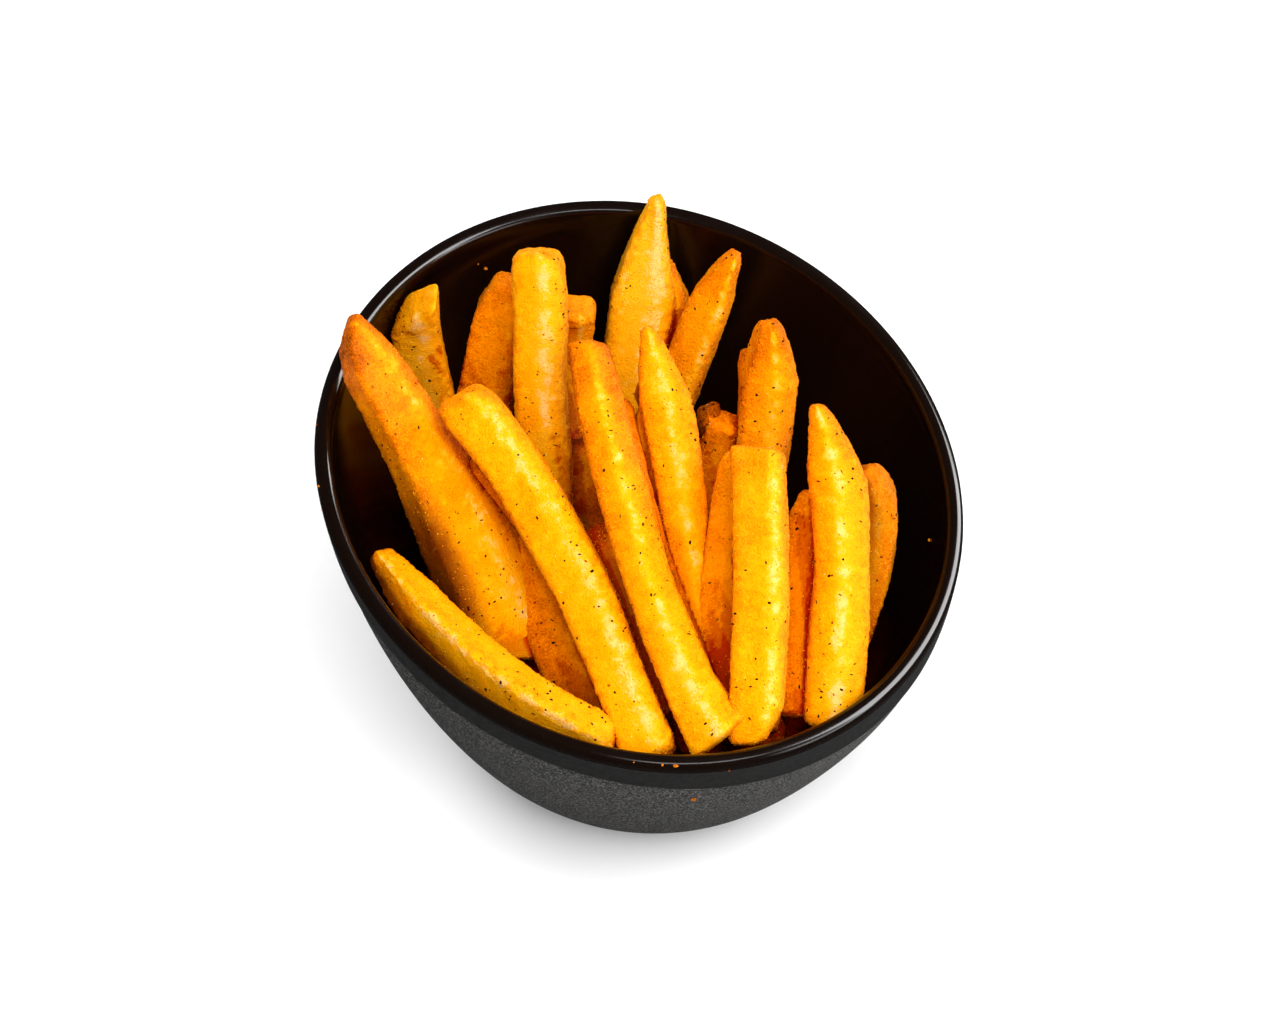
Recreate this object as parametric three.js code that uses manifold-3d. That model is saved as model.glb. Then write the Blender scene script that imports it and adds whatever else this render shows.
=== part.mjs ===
// A portion of french fries standing in a round bowl whose rim is cut on a slant.
// Millimetres, +Z up. The origin is the middle of the bowl's flat foot, and the low
// side of the rim faces -Y and +X, the way the fries' feet point.
import * as THREE from "three";
import { mergeVertices } from "three/addons/utils/BufferGeometryUtils.js";
import Module from "manifold-3d";

const DEGREES = Math.PI / 180;

// Bowl: a body of revolution, cut by a slanted plane.
const FOOT_RADIUS = 27;
const BELLY_RADIUS = 67.7;
const BELLY_HEIGHT = 82;
const FLARE_RISE = 1.43;
const FLARE_ROUND = 1.52;
const TUCK_IN = 0.012;
const WALL = 3.6;
const FLOOR = 4.2;
const RIM_HEIGHT = 69.5;
const RIM_SLOPE = 0.293;
const HIGH_SIDE = 131.4 * DEGREES;
const BAND_DEPTH = 10.8;
const BAND_STEP = 0.4;
const BAND_EDGE = 0.7;
const FULLNESS = 1.7;
const FULL_SIDE = -25 * DEGREES;
const BOWL_SIDES = 64;
const BODY_ROWS = [0.012, 0.04, 0.1, 0.18, 0.28, 0.4, 0.53, 0.66, 0.79, 0.9, 1];
const INSIDE_ROWS = [0.9, 0.78, 0.66, 0.54, 0.42, 0.3, 0.2, 0.12, 0.05, 0.012];
const LIP_STEPS = 5;

// Heap: a core that fills the bottom of the bowl, and the fries fused on it. The core's
// mound is given by its height at a few distances from its middle.
const CLEARANCE = 0.3;
const CORE_SIDES = 32;
const CORE_WALL_ROWS = [1, 3, 6, 10, 15];
const CORE_MOUND = [[41, 25], [37, 31], [27, 37], [14, 42]];
const CORE_TOP = new THREE.Vector3(-2, -8, 45);
const FRY_CORNER = 0.24;
const END_SLANT = 9;
const MEAN_WIDTH = 10;
const FACING = new THREE.Vector3(0, -1, 1).normalize();
const PLAIN_END = [3, 0.78, 0];

// Fries that stand or lean in the bowl: foot, middle and tip of the axis, the section's
// width and depth, its turn in degrees, its size at the tip with 1 at the foot, and its
// ends. An end is the length over which it narrows, what is left of its width, and the
// side it leans to (-1 to 1). cut slants the tip, so that its right side reaches higher.
const STANDING_FRIES = {
  left_slab: {
    foot: [-28, -18, 39], middle: [-41.6, -1, 69], tip: [-61.2, 15.5, 98.3], width: 22.4, depth: 14,
    turn: -30, taper: 0.46, footEnd: [6, 0.8, 0.2], tipEnd: [8, 0.6, 0.15], cut: 0.6,
  },
  left_stub: {
    foot: [-37.8, 21, 36], middle: [-46, 35, 64], tip: [-48, 34, 87], width: 9.8, depth: 9,
    tipEnd: [4, 0.8, 0.1], cut: 1.5,
  },
  along_front: {
    foot: [-8, -50, 48], middle: [-33, -35, 54], tip: [-56, -11, 62], width: 8.6, depth: 8.6,
    turn: 35, footEnd: [5, 0.7, 0], tipEnd: [14, 0.35, 0.4],
  },
  long_crossing: {
    foot: [-0.4, -52, 45], middle: [-18.4, -15, 68], tip: [-39, 6, 90], width: 11, depth: 10,
    footEnd: [4, 0.8, 0], tipEnd: [4, 0.8, -0.2], cut: -0.15,
  },
  back_left: {
    foot: [-40, 14, 34], middle: [-34.5, 34, 60], tip: [-29, 43, 86], width: 11, depth: 9,
    tipEnd: [8, 0.5, 0.3],
  },
  tall_blunt: {
    foot: [-21.4, -7, 33], middle: [-22.4, 17, 66], tip: [-23.4, 38, 99], width: 10.6, depth: 10,
    tipEnd: [4, 0.78, -0.1],
  },
  short_behind: {
    foot: [-18, 24, 50], middle: [-16, 40, 66], tip: [-15, 39, 82], width: 7, depth: 7,
  },
  back_point: {
    foot: [-8.6, 25, 28], middle: [-4, 48, 60], tip: [0.4, 61, 91.6], width: 12.6, depth: 11,
    tipEnd: [22, 0.22, 0], cut: 0.6,
  },
  behind_point: {
    foot: [2.4, 43, 46], middle: [3.6, 52, 62], tip: [3.6, 56, 77.5], width: 7, depth: 7,
    tipEnd: [9, 0.25, -0.2],
  },
  middle_front: {
    foot: [12.4, -50.3, 48.6], middle: [-2.2, -21, 70], tip: [-13.4, 17.5, 93], width: 10.4, depth: 10,
    taper: 0.92, footEnd: [14, 1.26, -1], tipEnd: [12, 0.76, 0],
  },
  middle_behind: {
    foot: [10, -30, 43], middle: [6, -2, 68], tip: [-1.2, 22, 93.6], width: 10, depth: 10,
    tipEnd: [15, 0.22, -0.1],
  },
  middle_stub: {
    foot: [2, -6, 58], middle: [0, 4, 68], tip: [-3, 14.5, 78], width: 8, depth: 8, cut: 1.3,
  },
  back_right: {
    foot: [-4, 27, 36], middle: [7, 44, 62], tip: [16, 48, 88.5], width: 8.7, depth: 9,
    tipEnd: [14, 0.25, 0.2],
  },
  right_round: {
    foot: [17.6, 1, 42], middle: [22.5, 21, 66], tip: [23, 26, 90], width: 11, depth: 11,
    tipEnd: [14, 0.3, -0.05],
  },
  right_front: {
    foot: [19.8, -49.4, 47.6], middle: [21.2, -29, 68], tip: [20.4, -5, 86], width: 11.1, depth: 11,
    footEnd: [8, 0.55, -0.6], tipEnd: [2, 0.9, 0], cut: -0.2,
  },
  right_under: {
    foot: [9, 12, 45], middle: [12, 21, 55], tip: [15, 24, 65], width: 8, depth: 8,
  },
  far_right: {
    foot: [34.6, -39, 41], middle: [37.2, -18, 64], tip: [35.4, 6, 88], width: 11.4, depth: 11,
    footEnd: [3, 0.85, 0], tipEnd: [16, 0.25, -0.75],
  },
  far_right_behind: {
    foot: [38, -15, 38], middle: [44, -3, 55], tip: [43, 2, 72], width: 9, depth: 9,
    tipEnd: [6, 0.5, -0.2],
  },
  between_right: {
    foot: [28, -36, 41], middle: [29, -17, 55], tip: [31, -1, 70], width: 8, depth: 8,
    tipEnd: [8, 0.3, 0],
  },
  beside_right: {
    foot: [13, -33, 41], middle: [14, -13, 60], tip: [18, 1, 78], width: 9, depth: 9,
  },
  under_crossing: {
    foot: [-11, -31, 35], middle: [-20, -15, 46], tip: [-27, -1, 58], width: 12, depth: 9,
  },
  under_middle: {
    foot: [2, -34, 38], middle: [-5, -17, 51], tip: [-12, -8, 64], width: 9, depth: 9,
  },
  under_tall: {
    foot: [-11, 8, 40], middle: [-13, 17, 49], tip: [-15, 25, 58], width: 9, depth: 8,
  },
  small_behind: {
    foot: [13, 21, 50], middle: [12, 25, 58], tip: [11, 25, 66], width: 5, depth: 6,
  },
  low_middle: {
    foot: [9, -42, 35], middle: [7, -21, 48], tip: [1, 0, 60], width: 10, depth: 10,
  },
  low_right: {
    foot: [22, -38, 33], middle: [17, -19, 46], tip: [9, -3, 58], width: 10, depth: 10,
  },
  low_left: {
    foot: [-3, -30, 28], middle: [-11, -13, 39], tip: [-19, 10, 50], width: 10, depth: 10,
  },
};

// Each of these has a shorter fry close under and behind it, which props it up.
const PROPPED_FRIES = [
  "left_slab", "long_crossing", "tall_blunt", "middle_front",
  "middle_behind", "right_round", "right_front", "far_right",
];
const PROP_SHIFT = new THREE.Vector3(0, 6.4, -6.7);
const PROP_START = 0.04;
const PROP_END = 0.86;
const PROP_BOW = 0.7;

const wasm = await Module();
wasm.setup();

function closedRings(rings, firstPole, lastPole) {
  // One closed body from rings of points, each end shut by a fan to its pole.
  const sides = rings[0].length;
  const points = [firstPole, ...rings.flat(), lastPole];
  const faces = [];
  for (let side = 0; side < sides; side += 1) {
    const next = (side + 1) % sides;
    faces.push(0, 1 + next, 1 + side);
    for (let row = 0; row + 1 < rings.length; row += 1) {
      const low = 1 + row * sides;
      const high = low + sides;
      faces.push(low + side, low + next, high + next);
      faces.push(low + side, high + next, high + side);
    }
    const top = 1 + (rings.length - 1) * sides;
    faces.push(points.length - 1, top + side, top + next);
  }
  const geometry = new THREE.BufferGeometry().setFromPoints(points);
  geometry.setIndex(faces);
  return geometry;
}

function toSolid(geometry) {
  const merged = mergeVertices(geometry);
  const vertProperties = Float32Array.from(merged.getAttribute("position").array);
  const triVerts = Uint32Array.from(merged.getIndex().array);
  return new wasm.Manifold(new wasm.Mesh({ numProp: 3, vertProperties, triVerts }));
}

function toGeometry(solid) {
  const { vertProperties, triVerts } = solid.getMesh();
  const geometry = new THREE.BufferGeometry();
  geometry.setAttribute("position", new THREE.BufferAttribute(vertProperties, 3));
  geometry.setIndex(new THREE.BufferAttribute(triVerts, 1));
  geometry.computeVertexNormals();
  return geometry;
}

function outsideRadius(height) {
  const share = THREE.MathUtils.clamp(height / BELLY_HEIGHT, 0, 1);
  const flare = (1 - (1 - share) ** FLARE_RISE) ** (1 / FLARE_ROUND);
  const tuck = TUCK_IN * Math.max(height - BELLY_HEIGHT, 0) ** 2;
  return FOOT_RADIUS + (BELLY_RADIUS - FOOT_RADIUS) * flare - tuck;
}

function fullness(angle, share) {
  // How much fuller the outside is below the rim's low side; share is the height in parts
  // of the rim's.
  const toward = Math.max(Math.cos(angle - FULL_SIDE), 0) ** 2;
  return FULLNESS * toward * Math.sin(Math.PI * Math.min(share, 1) ** 2.2);
}

function rimHeight(angle) {
  // The slanted plane meets the wall where both agree on the height.
  let height = RIM_HEIGHT;
  for (let pass = 0; pass < 8; pass += 1) {
    height = RIM_HEIGHT + RIM_SLOPE * outsideRadius(height) * Math.cos(angle - HIGH_SIDE);
  }
  return height;
}

function ringPoint(angle, radius, height) {
  return new THREE.Vector3(radius * Math.cos(angle), radius * Math.sin(angle), height);
}

function insidePoint(angle, height, thickness) {
  // The inner wall lies one wall thickness in from the outside, square to it.
  const step = 0.05;
  const slope = (outsideRadius(height + step) - outsideRadius(height)) / step;
  const length = Math.hypot(1, slope);
  const radius = outsideRadius(height) - thickness / length;
  const rise = (thickness * slope) / length;
  return ringPoint(angle, radius, height + rise);
}

function wallColumn(angle, skin) {
  // One vertical slice of the bowl: up the outside, over the lip and down the inside.
  const lipRadius = WALL / 2;
  const lipHeight = rimHeight(angle) - lipRadius;
  const bandHeight = rimHeight(angle) - BAND_DEPTH;
  const column = [ringPoint(angle, FOOT_RADIUS, -skin)];
  for (const share of BODY_ROWS) {
    const height = bandHeight * share;
    const radius = outsideRadius(height) - BAND_STEP + fullness(angle, height / lipHeight);
    column.push(ringPoint(angle, radius + skin, height));
  }
  for (const share of [0, 0.5, 1]) {
    const height = THREE.MathUtils.lerp(bandHeight + BAND_EDGE, lipHeight, share);
    const radius = outsideRadius(height) + fullness(angle, height / lipHeight);
    column.push(ringPoint(angle, radius + skin, height));
  }
  const lipCentre = outsideRadius(lipHeight) - lipRadius;
  for (let step = 1; step <= LIP_STEPS; step += 1) {
    const bend = (Math.PI * step) / LIP_STEPS;
    const reach = lipRadius + skin;
    const radius = lipCentre + reach * Math.cos(bend);
    column.push(ringPoint(angle, radius, lipHeight + reach * Math.sin(bend)));
  }
  for (const share of INSIDE_ROWS) {
    column.push(insidePoint(angle, lipHeight * share, WALL + skin));
  }
  column.push(ringPoint(angle, FOOT_RADIUS - WALL, FLOOR + skin));
  return column;
}

function bowlGeometry(skin = 0) {
  const columns = [];
  for (let side = 0; side < BOWL_SIDES; side += 1) {
    columns.push(wallColumn((2 * Math.PI * side) / BOWL_SIDES, skin));
  }
  const rings = columns[0].map((_, row) => columns.map((column) => column[row]));
  const under = new THREE.Vector3(0, 0, -skin);
  return closedRings(rings, under, new THREE.Vector3(0, 0, FLOOR + skin));
}

function coreGeometry() {
  // A mound that reaches into the wall, and is then cut clear of it.
  const ring = (place) => {
    const sides = Array.from({ length: CORE_SIDES }, (_, side) => side);
    return sides.map((side) => place((2 * Math.PI * side) / CORE_SIDES));
  };
  const rings = CORE_WALL_ROWS.map((height) => ring((angle) => insidePoint(angle, height, WALL / 2)));
  for (const [reach, height] of CORE_MOUND) {
    const middle = new THREE.Vector3(CORE_TOP.x, CORE_TOP.y, 0);
    rings.push(ring((angle) => ringPoint(angle, reach, height).add(middle)));
  }
  return closedRings(rings, new THREE.Vector3(0, 0, FLOOR / 2), CORE_TOP);
}

function narrowing(distance, [length, left]) {
  const share = Math.min(1, distance / length);
  return left + (1 - left) * Math.sin((share * Math.PI) / 2);
}

function fryStations(length, footEnd, tipEnd) {
  const foot = footEnd[0] / length;
  const tip = tipEnd[0] / length;
  return [0, foot, 0.5, 1 - tip, 1 - 0.4 * tip, 1];
}

function fryGeometry(fry) {
  const { footEnd = PLAIN_END, tipEnd = PLAIN_END, turn = 0, taper = 1, cut = 0 } = fry;
  const [foot, middle, tip] = [fry.foot, fry.middle, fry.tip].map((at) => new THREE.Vector3(...at));
  const control = middle.clone().multiplyScalar(2).addScaledVector(foot, -0.5).addScaledVector(tip, -0.5);
  const axis = new THREE.QuadraticBezierCurve3(foot, control, tip);
  const length = axis.getLength();
  const corner = FRY_CORNER * Math.min(fry.width, fry.depth);
  const wide = fry.width / 2;
  const deep = fry.depth / 2;
  const section = [
    [wide, corner - deep], [wide - corner, -deep], [corner - wide, -deep], [-wide, corner - deep],
    [-wide, deep - corner], [corner - wide, deep], [wide - corner, deep], [wide, deep - corner],
  ];
  const rings = fryStations(length, footEnd, tipEnd).map((share) => {
    const along = axis.getTangentAt(share);
    const face = FACING.clone().addScaledVector(along, -FACING.dot(along)).normalize();
    const side = new THREE.Vector3().crossVectors(along, face).applyAxisAngle(along, -turn * DEGREES);
    face.applyAxisAngle(along, -turn * DEGREES);
    const footWidth = narrowing(share * length, footEnd);
    const tipWidth = narrowing((1 - share) * length, tipEnd);
    const size = THREE.MathUtils.lerp(1, taper, share);
    const widen = footWidth * tipWidth * size;
    const deepen = Math.max(footWidth * tipWidth, 0.35) ** 0.7 * size;
    const lean = ((1 - footWidth) * footEnd[2] + (1 - tipWidth) * tipEnd[2]) * wide;
    const slant = cut * THREE.MathUtils.smoothstep(share * length, length - END_SLANT, length);
    return section.map(([across, out]) => axis.getPointAt(share)
      .addScaledVector(side, across * widen + lean)
      .addScaledVector(face, out * deepen)
      .addScaledVector(along, across * widen * slant));
  });
  return closedRings(rings, axis.getPointAt(0), axis.getPointAt(1));
}

function propOf(fry) {
  const [foot, middle, tip] = [fry.foot, fry.middle, fry.tip].map((at) => new THREE.Vector3(...at));
  const straightMiddle = foot.clone().lerp(tip, 0.5);
  const bow = middle.clone().sub(straightMiddle).multiplyScalar(PROP_BOW);
  const low = foot.clone().lerp(tip, PROP_START).add(PROP_SHIFT);
  const high = foot.clone().lerp(tip, PROP_END).add(PROP_SHIFT);
  const between = low.clone().lerp(high, 0.5).add(bow);
  return {
    foot: low.toArray(), middle: between.toArray(), tip: high.toArray(),
    width: MEAN_WIDTH, depth: MEAN_WIDTH,
  };
}

function friesGeometry() {
  const standing = Object.values(STANDING_FRIES);
  const props = PROPPED_FRIES.map((name) => propOf(STANDING_FRIES[name]));
  let heap = toSolid(coreGeometry());
  for (const fry of [...props, ...standing]) {
    heap = heap.add(toSolid(fryGeometry(fry)));
  }
  heap = heap.subtract(toSolid(bowlGeometry(CLEARANCE)));
  // Sealed hollows and loose scraps come apart here, and only the heap itself is kept.
  const largest = heap.decompose().reduce((kept, piece) => (piece.volume() > kept.volume() ? piece : kept));
  return toGeometry(largest);
}

function named(name, geometry, look) {
  const mesh = new THREE.Mesh(geometry, new THREE.MeshStandardMaterial(look));
  mesh.name = name;
  return mesh;
}

const portion = new THREE.Group();
portion.add(named("bowl", bowlGeometry(), { color: 0x1c1c1e, roughness: 0.45, metalness: 0 }));
portion.add(named("fries", friesGeometry(), { color: 0xf0b428, roughness: 0.55, metalness: 0 }));

export default portion;
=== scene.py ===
import math
import bmesh
import bpy
import numpy as np
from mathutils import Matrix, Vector
from mathutils.bvhtree import BVHTree


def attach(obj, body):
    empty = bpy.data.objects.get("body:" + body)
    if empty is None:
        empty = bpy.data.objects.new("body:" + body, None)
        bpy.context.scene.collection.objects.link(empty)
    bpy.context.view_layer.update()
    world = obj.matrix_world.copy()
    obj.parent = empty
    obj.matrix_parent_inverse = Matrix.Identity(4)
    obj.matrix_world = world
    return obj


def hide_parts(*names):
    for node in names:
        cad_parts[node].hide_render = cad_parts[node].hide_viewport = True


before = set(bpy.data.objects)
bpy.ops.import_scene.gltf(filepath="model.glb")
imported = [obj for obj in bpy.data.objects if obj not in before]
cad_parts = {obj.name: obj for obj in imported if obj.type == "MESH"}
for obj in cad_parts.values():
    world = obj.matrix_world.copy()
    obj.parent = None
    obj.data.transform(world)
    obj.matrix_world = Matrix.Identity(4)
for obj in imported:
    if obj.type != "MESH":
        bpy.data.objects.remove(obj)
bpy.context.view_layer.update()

# All sizes are in millimetres until a mesh is made.
MM = 0.001

# Bowl: a body of revolution, cut by a slanted plane.
FOOT_RADIUS = 27
BELLY_RADIUS = 67.7
BELLY_HEIGHT = 82
FLARE_RISE = 1.43
FLARE_ROUND = 1.52
TUCK_IN = 0.012
WALL = 3.6
FLOOR = 4.2
RIM_HEIGHT = 69.5
RIM_SLOPE = 0.293
HIGH_SIDE = math.radians(131.4)
BAND_DEPTH = 10.8
BAND_STEP = 0.4
BAND_EDGE = 0.9
FULLNESS = 1.7
FULL_SIDE = math.radians(-25)
FULLNESS_CURVE = 2.2

# The rim's height is worked out in rounds, and the inner wall is followed in small steps.
RIM_ROUNDS = 12
SLOPE_STEP = 0.05
FOLLOWED_HEIGHTS = np.linspace(0.05, 96, 400)

# Rings of the bowl's mesh. Shares are of the part's height or reach. The body's rings crowd
# towards the foot, where it curves most, and the band is satin up to a share of it.
BOWL_SIDES = 288
FOOT_SHARES = (0.5, 0.9, 0.97)
BODY_SHARES = np.linspace(0.004, 1, 56) ** 1.6
BAND_EDGE_SHARES = np.linspace(0, 1, 7)[1:]
BAND_SHARES = np.linspace(0, 1, 13)[1:]
SATIN_SHARE = 0.8
LIP_SHARES = np.linspace(0, 1, 19)[1:]
INSIDE_SHARES = np.linspace(0.97, 0.012, 54)
FLOOR_SHARES = (1, 0.8, 0.4)

# Finishes of the bowl, in the order of its materials.
BODY_FINISH = 0
BAND_FINISH = 1
GLAZE_FINISH = 2

# Mound: the fries' packed lower ends. Its first rows lie on the wall at these heights, and
# each of the others has a reach and a height.
MOUND_SIDES = 96
MOUND_LIFT = 0.4
MOUND_WALL_ROWS = [1, 3, 6, 10]
MOUND = [(36, 17), (28, 29), (20, 38), (10, 43)]
MOUND_TOP = np.array([-2.0, -8.0, 45.0])
MOUND_TAN = 1.5

# Fries keep this far off the bowl's wall, and may lean out over its lip by this much for
# each millimetre that they stand above it.
SETTLED_GAP = 0.35
LEAN_OUT = 2.2

# What a fry has where its row doesn't say.
PLAIN_END = (3, 0.78, 0)
PLAIN_RIDGE = (0.2, 0.15, 0.2)
UNSHADED_SIDE = (-2, -3, 0, 1)

# A fry's front faces this way. Its section is a five-sided outline whose corners are the
# back right, back left, front left, crest and front right. They are rounded, and get more
# points in front than at the back.
FACING = np.array([0.0, -1.0, 1.0]) / math.sqrt(2)
CORNER_ROUNDING = (0.5, 0.5, 0.34, 0.36, 0.34)
CORNER_LIMIT = 0.48
CORNER_SHARES = np.linspace(0, 1, 9)
SHORT_STEP = 0.3
BACK_DETAIL = 0.9
FRONT_DETAIL = 1.8
EDGE_REACH = 0.55
CREST_REACH = 0.34

# A fry's ends are round caps. Rings crowd in them, and CAP_SHARES says where.
CAP = 1.5
CAP_SQUARENESS = 2.6
CAP_SHARES = 1 - np.cos(np.linspace(0.12, 0.5, 6) * np.pi)
POLE_OUT = 0.1
FEWEST_RINGS = 8
AXIS_SHARES = np.linspace(0, 1, 200)

# How a fry strays from its plain form: it twists, bends and swells slowly along its length,
# and its ends are cut at a slant. Uncut ends get a small slant of their own.
TWIST = math.radians(5)
TWIST_PACE = 2.2
STRAY_LENGTH = 17
STRAY_SPREAD = 40
WIDTH_STRAY = 0.05
DEPTH_STRAY = 0.06
BEND = 0.3
NARROWING_CURVE = 0.8
DEEPEST_NARROWING = 0.35
DEPTH_NARROWING = 0.7
CUT_REACH = 9
CUT_AT_FOOT = 0.7
UNCUT_SLANT = 0.3

# Lumps and crust: the size of the features, how far they push, and how much further at the
# ends and at the edges. The faces between the edges are hollow.
UNEVENNESS = [(8, 0.18, 0, 0), (2.6, 0.09, 0.2, 0), (1.1, 0.08, 0, 0.02), (0.6, 0.05, 0, 0.17)]
HOLLOW = 0.2
HOLLOW_REACH = (1, 8)
END_REACH = 11
END_EDGE_REACH = 2.2

# Fineness of a mesh of fries: points round a fry, and the gap between rings along it.
SHOWN_FINENESS = (48, 0.5)
HIDDEN_FINENESS = (24, 1.5)
LEFT_SEED = 100
RIGHT_SEED = 300
UNDER_SEED = 500
SEED_STEP = 7

# Loose grit clings to the edges of fries that are paler than this, fully and not at all.
GRITTY_TAN = 0.6
CLEAN_TAN = 1.3

# Each standing fry has the foot, middle and tip of its axis, and its section's width and
# depth. turn is in degrees. taper is its size at the tip, with 1 at the foot. An end is
# the length over which it narrows, what is left of its width, and the side it leans to.
# ridge is where the front face is highest, from -1 at its left edge to 1 at its right,
# and how far the left and right edges drop from it. cut slants the tip across and out.
# tan is how fried it is at the foot and at the tip, from pale (-0.5) to brown (2). The shaded
# side is painted shade: where it starts and is full, from -1 at the left edge to 1 at the right,
# and the shares of the length where it is full and where it has faded.
STANDING_FRIES = {
    "left_slab": dict(
        foot=(-28, -18, 39), middle=(-41.6, -1, 69), tip=(-61.2, 15.5, 98.3), width=22.4, depth=14,
        turn=-30, taper=0.46, foot_end=(6, 0.8, 0.2), tip_end=(8, 0.6, 0.15),
        ridge=(0.35, 0.1, 0.35), cut=(0.6, 0), tan=(-0.2, 1.4), soak=(-0.1, -1.1, 0.35, 0.72)),
    "left_stub": dict(
        foot=(-37.8, 21, 36), middle=(-46, 35, 64), tip=(-48, 34, 87), width=9.8, depth=9,
        tip_end=(4, 0.8, 0.1), ridge=(0.2, 0.3, 0.2), cut=(1.5, 0), tan=(-0.4, -0.4)),
    "along_front": dict(
        foot=(-8, -50, 48), middle=(-33, -35, 54), tip=(-56, -11, 62), width=8.6, depth=8.6,
        turn=35, foot_end=(5, 0.7, 0), tip_end=(14, 0.35, 0.4), ridge=(0.75, 0.15, 0.2), tan=(0.0, 0.2),
        soak=(0.4, -0.6, 0.75, 0.1)),
    "long_crossing": dict(
        foot=(-0.4, -52, 45), middle=(-18.4, -15, 68), tip=(-39, 6, 90), width=11, depth=10,
        foot_end=(4, 0.8, 0), tip_end=(4, 0.8, -0.2), ridge=(0.45, 0.2, 0.3), cut=(-0.15, 0),
        tan=(0.0, 0.5)),
    "back_left": dict(
        foot=(-40, 14, 34), middle=(-34.5, 34, 60), tip=(-29, 43, 86), width=11, depth=9,
        tip_end=(8, 0.5, 0.3), ridge=(0.7, 0.1, 0.5), tan=(0.8, 0.8)),
    "tall_blunt": dict(
        foot=(-21.4, -7, 33), middle=(-22.4, 17, 66), tip=(-23.4, 38, 99), width=10.6, depth=10,
        tip_end=(4, 0.78, -0.1), ridge=(0.25, 0.35, 0.4), cut=(0, 0), tan=(0.2, -0.1)),
    "short_behind": dict(
        foot=(-18, 24, 50), middle=(-16, 40, 66), tip=(-15, 39, 82), width=7, depth=7,
        ridge=(0.2, 0.2, 0.4), tan=(0.7, 0.4)),
    "back_point": dict(
        foot=(-8.6, 25, 28), middle=(-4, 48, 60), tip=(0.4, 61, 91.6), width=12.6, depth=11,
        tip_end=(22, 0.16, 0), ridge=(0.4, 0.35, 0.3), cut=(0.6, 0), tan=(0.2, -0.8)),
    "behind_point": dict(
        foot=(2.4, 43, 46), middle=(3.6, 52, 62), tip=(3.6, 56, 77.5), width=7, depth=7,
        tip_end=(9, 0.25, -0.2), ridge=(0.2, 0.3, 0.3), tan=(1.0, 0.5)),
    "middle_front": dict(
        foot=(12.4, -50.3, 48.6), middle=(-2.2, -21, 70), tip=(-13.4, 17.5, 93), width=10.4, depth=10,
        taper=0.92, foot_end=(14, 1.26, -1), tip_end=(12, 0.76, 0), ridge=(0.1, 0.35, 0.4), tan=(0.0, 1.3)),
    "middle_behind": dict(
        foot=(10, -30, 43), middle=(6, -2, 68), tip=(-1.2, 22, 93.6), width=10, depth=10,
        tip_end=(15, 0.22, -0.1), ridge=(0.1, 0.3, 0.3), tan=(0.7, 0.4)),
    "middle_stub": dict(
        foot=(2, -6, 58), middle=(0, 4, 68), tip=(-3, 14.5, 78), width=8, depth=8,
        cut=(1.3, 0), tan=(0.8, 0.6)),
    "back_right": dict(
        foot=(-4, 27, 36), middle=(7, 44, 62), tip=(16, 48, 88.5), width=8.7, depth=9,
        tip_end=(14, 0.25, 0.2), ridge=(0.6, 0.15, 0.4), tan=(0.5, 0.8)),
    "right_round": dict(
        foot=(17.6, 1, 42), middle=(22.5, 21, 66), tip=(23, 26, 90), width=11, depth=11,
        tip_end=(14, 0.3, -0.05), ridge=(0.2, 0.35, 0.35), tan=(0.4, 0.9)),
    "right_front": dict(
        foot=(19.8, -49.4, 47.6), middle=(21.2, -29, 68), tip=(20.4, -5, 86), width=11.1, depth=11,
        foot_end=(8, 0.55, -0.6), tip_end=(2, 0.9, 0), ridge=(0.6, 0.1, 0.4), cut=(-0.2, 0),
        tan=(0.3, 0.7)),
    "right_under": dict(
        foot=(9, 12, 45), middle=(12, 21, 55), tip=(15, 24, 65), width=8, depth=8, tan=(0.8, 0.8)),
    "far_right": dict(
        foot=(34.6, -39, 41), middle=(37.2, -18, 64), tip=(35.4, 6, 88), width=11.4, depth=11,
        foot_end=(3, 0.85, 0), tip_end=(16, 0.25, -0.75), ridge=(0.0, 0.45, 0.45), cut=(0, 0),
        tan=(0.1, 0.7)),
    "far_right_behind": dict(
        foot=(38, -15, 38), middle=(44, -3, 55), tip=(43, 2, 72), width=9, depth=9,
        tip_end=(6, 0.5, -0.2), ridge=(0.1, 0.3, 0.3), tan=(0.8, 0.6),
        soak=(2.5, -1.5, 0, 4)),
    "between_right": dict(
        foot=(28, -36, 41), middle=(29, -17, 55), tip=(31, -1, 70), width=8, depth=8,
        tip_end=(8, 0.3, 0), tan=(0.9, 0.8)),
    "beside_right": dict(
        foot=(13, -33, 41), middle=(14, -13, 60), tip=(18, 1, 78), width=9, depth=9, tan=(0.6, 0.6)),
    "under_crossing": dict(
        foot=(-11, -31, 35), middle=(-20, -15, 46), tip=(-27, -1, 58), width=12, depth=9, tan=(1.1, 1.1)),
    "under_middle": dict(
        foot=(2, -34, 38), middle=(-5, -17, 51), tip=(-12, -8, 64), width=9, depth=9, tan=(0.6, 0.6)),
    "under_tall": dict(
        foot=(-11, 8, 40), middle=(-13, 17, 49), tip=(-15, 25, 58), width=9, depth=8, tan=(1.2, 1.2)),
    "small_behind": dict(
        foot=(13, 21, 50), middle=(12, 25, 58), tip=(11, 25, 66), width=5, depth=6, tan=(1.5, 1.5)),
    "low_middle": dict(
        foot=(9, -42, 35), middle=(7, -21, 48), tip=(1, 0, 60), width=10, depth=10, tan=(1.2, 1.2)),
    "low_right": dict(
        foot=(22, -38, 33), middle=(17, -19, 46), tip=(9, -3, 58), width=10, depth=10, tan=(1.2, 1.2)),
    "low_left": dict(
        foot=(-3, -30, 28), middle=(-11, -13, 39), tip=(-19, 10, 50), width=10, depth=10, tan=(1.2, 1.2)),
}

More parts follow.
